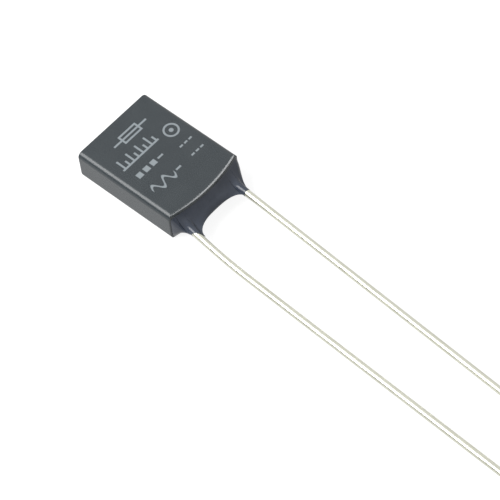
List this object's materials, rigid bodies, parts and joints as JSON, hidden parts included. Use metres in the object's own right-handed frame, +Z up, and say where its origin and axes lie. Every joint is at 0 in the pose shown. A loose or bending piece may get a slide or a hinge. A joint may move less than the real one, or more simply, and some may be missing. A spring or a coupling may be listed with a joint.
{
  "type": "thermal fuse",
  "caption": "Flat moulded thermal fuse with radial wire leads, a potted mouth with a web between the wires, and a low-melting link inside that opens the circuit when hot.",
  "frame": {"origin": "middle of the case's flat base face", "axes": "+X from the closed end out along the leads, +Y across the leads, +Z up out of the face that carries the print"},
  "size_m": [0.0552, 0.0093, 0.003],
  "materials": {
    "case_plastic": "satin dark grey moulded plastic",
    "potting_epoxy": "glossy near-black cured epoxy",
    "tinned_wire": "bright tinned copper wire",
    "link_alloy": "dull low-melting alloy",
    "flux_resin": "amber resin flux"
  },
  "bodies": {
    "root": {"case": "case_plastic", "epoxy_seal": "potting_epoxy", "lead_near": "tinned_wire", "lead_far": "tinned_wire", "fusible_link": "link_alloy", "flux": "flux_resin"}
  },
  "joints": []
}
